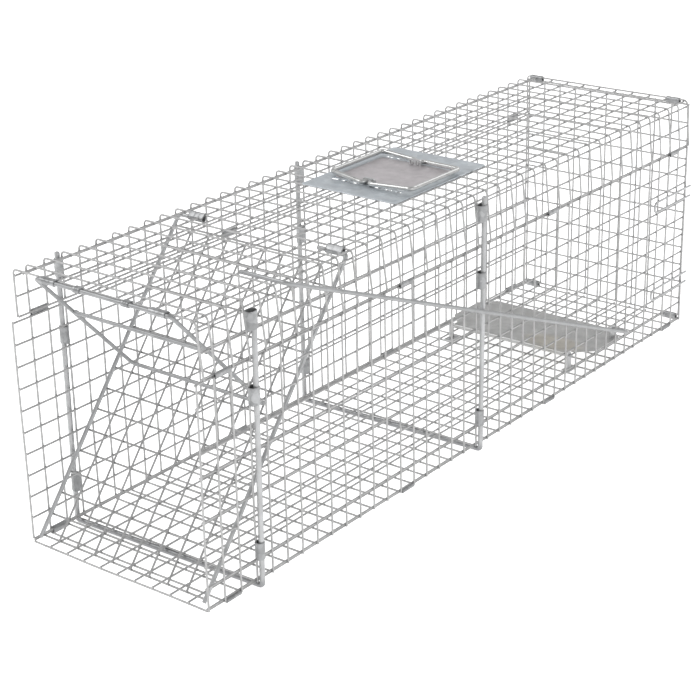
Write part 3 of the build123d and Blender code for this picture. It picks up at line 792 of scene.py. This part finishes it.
def sheet_piece(name, loops, z_low, z_high, edge):
    """Flat sheet between two heights: the first loop is its outline, the others are holes."""
    curve = bpy.data.curves.new(name, "CURVE")
    curve.dimensions = "2D"
    curve.fill_mode = "BOTH"
    curve.extrude = (z_high - z_low) / 2 - edge
    curve.bevel_depth = edge
    curve.bevel_resolution = 2
    curve.offset = -edge
    for loop in loops:
        spline = curve.splines.new("POLY")
        spline.points.add(len(loop) - 1)
        for point, (x, y) in zip(spline.points, loop):
            point.co = (x, y, 0, 1)
        spline.use_cyclic_u = True
    holder = bpy.data.objects.new(name + "_curve", curve)
    bpy.context.scene.collection.objects.link(holder)
    mesh = bpy.data.meshes.new_from_object(holder)
    bpy.data.objects.remove(holder)
    mesh.transform(Matrix.Translation((0, 0, (z_low + z_high) / 2)))
    mesh.name = name
    piece = bpy.data.objects.new(name, mesh)
    bpy.context.scene.collection.objects.link(piece)
    mesh.shade_smooth()
    mesh.set_sharp_from_angle(angle=math.radians(35))
    return piece


def guard_plate():
    low, high = (Vector(v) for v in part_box("guard_plate"))
    centre = (low + high) / 2
    half_x, half_y = (high.x - low.x) / 2, (high.y - low.y) / 2
    middle = (centre.x, centre.y)
    loops = [rounded_loop(half_x, half_y, PLATE_CORNER, middle)]
    for sx in (-1, 1):
        for sy in (-1, 1):
            for slot_x in SLOT_X:
                slot_middle = (centre.x + sx * slot_x, centre.y + sy * SLOT_Y)
                loops.append(rounded_loop(*SLOT_HALF, SLOT_CORNER, slot_middle, steps=4))
    plate = sheet_piece("guard_plate_sheet", loops, low.z, high.z, 0.25 * MM)
    settle(plate, "cage", "guard_sheet", PLATE_ZINC, "guard_plate")
    field_loop = rounded_loop(*FIELD_HALF, FIELD_CORNER, middle)
    field = sheet_piece(
        "guard_plate_field", [field_loop], low.z, high.z + FIELD_RISE, FIELD_EDGE
    )
    settle(field, "cage", "guard_sheet", FIELD_PAINTED_REFLECTION_ZINC)


def handle(name, node):
    low, high = (Vector(v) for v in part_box(node))
    pivot = joint_place(node + "_hinge")
    grip_z = high.z - HANDLE_ROD
    on_right = high.x - pivot.x > pivot.x - low.x
    grip_x = high.x - HANDLE_ROD if on_right else low.x + HANDLE_ROD
    front, back = (pivot.y + reach for reach in GRIP_REACH[node])
    corners = [
        (pivot.x, pivot.y - PIVOT_HALF + HANDLE_TAIL, pivot.z),
        (pivot.x, pivot.y - PIVOT_HALF, pivot.z),
        (grip_x, front, grip_z),
        (grip_x, back, grip_z),
        (pivot.x, pivot.y + PIVOT_HALF, pivot.z),
        (pivot.x, pivot.y + PIVOT_HALF - HANDLE_TAIL, pivot.z),
    ]
    tubes = Tubes()
    tubes.rod(bent(corners, HANDLE_BEND), HANDLE_ROD)
    piece = make_mesh(name, tubes.points, tubes.faces)
    settle(piece, node, "handle_rod", HANDLE_ZINC, node)


# --- treadle and trigger rod ---------------------------------------------------------------
TREADLE_SHEET = 1.2 * MM
TREADLE_EDGE = 0.3 * MM
TREADLE_STEP_BACK = 7.0 * MM  # from the axle to the plate's front edge beside the roll
TREADLE_CHAMFER = 20.0 * MM
AXLE_SHOWS = 10.0 * MM  # at each end of the roll
ROLL_TURN = 1.85 * math.pi
ROLL_STEPS = 22
TRIGGER_ROD = 2.4 * MM
TRIGGER_BEND = 6.0 * MM
TRIGGER_HOOK = 6.0 * MM  # how far its rear end reaches into the treadle's lug


def treadle():
    axle = joint_place("treadle_hinge")
    axle_low, axle_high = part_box("treadle_axle")
    axle_radius = (axle_high[2] - axle_low[2]) / 2
    tubes = Tubes()
    tubes.rod([(axle_low[0], axle.y, axle.z), (axle_high[0], axle.y, axle.z)], axle_radius)
    piece = make_mesh("treadle_axle_rod", tubes.points, tubes.faces)
    settle(piece, "treadle", "axle_steel", DOOR_ROD_ZINC, "treadle_axle")

    low, high = (Vector(v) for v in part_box("treadle_plate"))
    front = axle.y + TREADLE_STEP_BACK
    chamfer = TREADLE_CHAMFER
    roll_half = (axle_high[0] - axle_low[0]) / 2 - AXLE_SHOWS
    roll_left, roll_right = axle.x - roll_half, axle.x + roll_half
    outline = [
        (low.x, high.y - chamfer), (low.x, front + chamfer),
        (roll_left, front), (roll_left, axle.y), (roll_right, axle.y), (roll_right, front),
        (high.x - chamfer, front), (high.x, front + chamfer), (high.x, high.y - chamfer),
        (high.x - chamfer, high.y), (low.x + chamfer, high.y),
    ]
    plate = sheet_piece(
        "treadle_sheet", [outline], high.z - TREADLE_SHEET, high.z, TREADLE_EDGE
    )

    turns = [math.pi / 2 + ROLL_TURN * k / ROLL_STEPS for k in range(ROLL_STEPS + 1)]
    roll_radius = high.z - axle.z

    def arc(radius):
        return [(axle.y + radius * math.cos(t), axle.z + radius * math.sin(t)) for t in turns]

    section = arc(roll_radius) + arc(roll_radius - TREADLE_SHEET)[::-1]
    size = len(section)
    points = [(x, y, z) for x in (roll_left, roll_right) for y, z in section]
    faces = [(k, (k + 1) % size, size + (k + 1) % size, size + k) for k in range(size)]
    for base in (0, size):
        for k in range(ROLL_STEPS):
            quad = (base + k, base + k + 1, base + size - 2 - k, base + size - 1 - k)
            faces.append(quad if base == 0 else quad[::-1])
    roll = make_mesh("treadle_roll", points, faces)
    settle(plate, "treadle", "treadle_sheet", TREADLE_ZINC, "treadle_plate")
    settle(roll, "treadle", "treadle_sheet", TREADLE_ZINC)


def trigger_rod():
    low, high = (Vector(v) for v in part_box("trigger_rod"))
    pivot = joint_place("trigger_rod_pivot")
    x = high.x - TRIGGER_ROD
    front = Vector((x, low.y + TRIGGER_ROD, high.z - TRIGGER_ROD))
    back = Vector((x, pivot.y, pivot.z))
    hook_end = Vector((pivot.x - TRIGGER_HOOK, back.y, back.z))
    tubes = Tubes()
    corners = [hook_end, back, front, (low.x, front.y, front.z)]
    tubes.rod(bent(corners, TRIGGER_BEND), TRIGGER_ROD)
    piece = make_mesh("trigger_rod_wire", tubes.points, tubes.faces)
    settle(piece, "trigger_rod", "trigger_rod", LOCK_ZINC, "trigger_rod")


# --- stage, lights and camera --------------------------------------------------------------
def stage():
    mesh = bpy.data.meshes.new("floor")
    reach = 14.0  # metres, past what any view shows
    corners = [(-reach, -reach, 0), (reach, -reach, 0), (reach, reach, 0), (-reach, reach, 0)]
    mesh.from_pydata(corners, [], [(0, 1, 2, 3)])
    ground = bpy.data.objects.new("floor", mesh)
    bpy.context.scene.collection.objects.link(ground)
    material = bpy.data.materials.new("pale_floor")
    material.use_nodes = True
    tree = material.node_tree
    shader = tree.nodes["Principled BSDF"]
    shader.inputs["Base Color"].default_value = (0.95, 0.95, 0.95, 1)
    shader.inputs["Roughness"].default_value = 0.9
    shader.inputs["Specular IOR Level"].default_value = 0.1
    shader.inputs["Emission Color"].default_value = (1, 1, 1, 1)
    shader.inputs["Emission Strength"].default_value = 0.75
    mesh.materials.append(material)


LIT_POINT = Vector((0, 0, 0.15))


def area_light(name, place, size, watts):
    light = bpy.data.lights.new(name, "AREA")
    light.shape = "DISK"
    light.size = size
    light.energy = watts
    lamp = bpy.data.objects.new(name, light)
    lamp.location = place
    lamp.rotation_euler = (LIT_POINT - Vector(place)).to_track_quat("-Z", "Y").to_euler()
    bpy.context.scene.collection.objects.link(lamp)


def lights():
    world = bpy.data.worlds.new("studio")
    bpy.context.scene.world = world
    world.use_nodes = True
    nodes, link = world.node_tree.nodes, world.node_tree.links.new
    background = nodes["Background"]
    background.inputs["Color"].default_value = (1.0, 1.0, 1.0, 1)
    where = nodes.new("ShaderNodeTexCoord")
    parts = nodes.new("ShaderNodeSeparateXYZ")
    link(where.outputs["Generated"], parts.inputs["Vector"])
    dome = nodes.new("ShaderNodeMapRange")  # white at the horizon, dimmer overhead
    dome.interpolation_type = "SMOOTHSTEP"
    dome.inputs["From Min"].default_value = 0.06
    dome.inputs["From Max"].default_value = 0.7
    dome.inputs["To Min"].default_value = 1.0
    dome.inputs["To Max"].default_value = 0.5
    link(parts.outputs["Z"], dome.inputs["Value"])
    link(dome.outputs["Result"], background.inputs["Strength"])
    area_light("key", (-1.6, -1.2, 2.6), size=1.6, watts=36)
    area_light("fill", (2.4, -0.8, 1.4), size=1.6, watts=10)
    area_light("back", (0.4, 2.6, 2.2), size=2.0, watts=18)


AZIMUTH, ELEVATION, ROLL = 38.36, 22.49, -1.28  # degrees
EYE_FROM_FLOOR_MIDDLE = Vector((1.2482, -1.6679, 0.9539))


def camera():
    """Three-quarter view from above the door end, seen through a long lens."""
    azimuth, elevation, roll = (math.radians(v) for v in (AZIMUTH, ELEVATION, ROLL))
    data = bpy.data.cameras.new("camera")
    data.lens = 93.65
    data.sensor_width = 36.0
    data.clip_end = 100.0
    eye = bpy.data.objects.new("camera", data)
    floor_y = (floor_low[1] + floor_high[1]) / 2
    floor_middle = Vector((CENTRE_X, floor_y, floor_low[2] + HALF))
    eye.location = floor_middle + EYE_FROM_FLOOR_MIDDLE
    forward = Vector((
        -math.sin(azimuth) * math.cos(elevation),
        math.cos(azimuth) * math.cos(elevation),
        -math.sin(elevation),
    ))
    look = forward.to_track_quat("-Z", "Y").to_matrix()
    eye.rotation_euler = (look @ Matrix.Rotation(roll, 3, "Z")).to_euler()
    bpy.context.scene.collection.objects.link(eye)
    bpy.context.scene.camera = eye


def build():
    floor_wires()
    side_wires("left_wall_wires", "left_side_mesh", -ACROSS, LEFT_SEED)
    side_wires("right_wall_wires", "right_side_mesh", ACROSS, RIGHT_SEED)
    rear_wires()
    roof_wires()
    carrying_frame("front_frame_rod", "front_frame")
    carrying_frame("mid_frame_rod", "mid_frame")
    rear_hooks()
    for side in ("left", "right"):
        box_sleeves(side + "_skirt_clips", side + "_skirt_seam_sleeves", 1)
        box_sleeves(side + "_floor_clips", side + "_floor_seam_sleeves", 1)
    box_sleeves("front_post_clips", "front_post_sleeves", 2)
    box_sleeves("mid_post_clips", "mid_post_sleeves", 2)
    box_sleeves("rear_roof_clips", "rear_roof_sleeves", 0)
    box_sleeves("rear_floor_clips", "rear_floor_sleeves", 0)
    hinge_wire = long_places[DOOR_HINGE_WIRE]
    pivot_sleeves("door_hinge_clips", "door_hinge_sleeves", "door_hinge", DOOR_ROD, hinge_wire)
    mouth_wire = roof_places[0]
    pivot_sleeves("lock_hinge_clips", "lock_hinge_sleeves", "lock_hinge", LOCK_ROD, mouth_wire)
    door_pieces()
    lock_pieces()
    guard_plate()
    handle("left_handle_rod", "left_handle")
    handle("right_handle_rod", "right_handle")
    treadle()
    trigger_rod()
    for node in ("handle_knuckles", "treadle_brackets", "treadle_lug"):
        solid = frame["nodes"][node]
        solid.data.materials.clear()
        solid.data.materials.append(FITTING_ZINC)


build()
stage()
lights()
camera()
scene = bpy.context.scene
scene.view_settings.view_transform = "Standard"
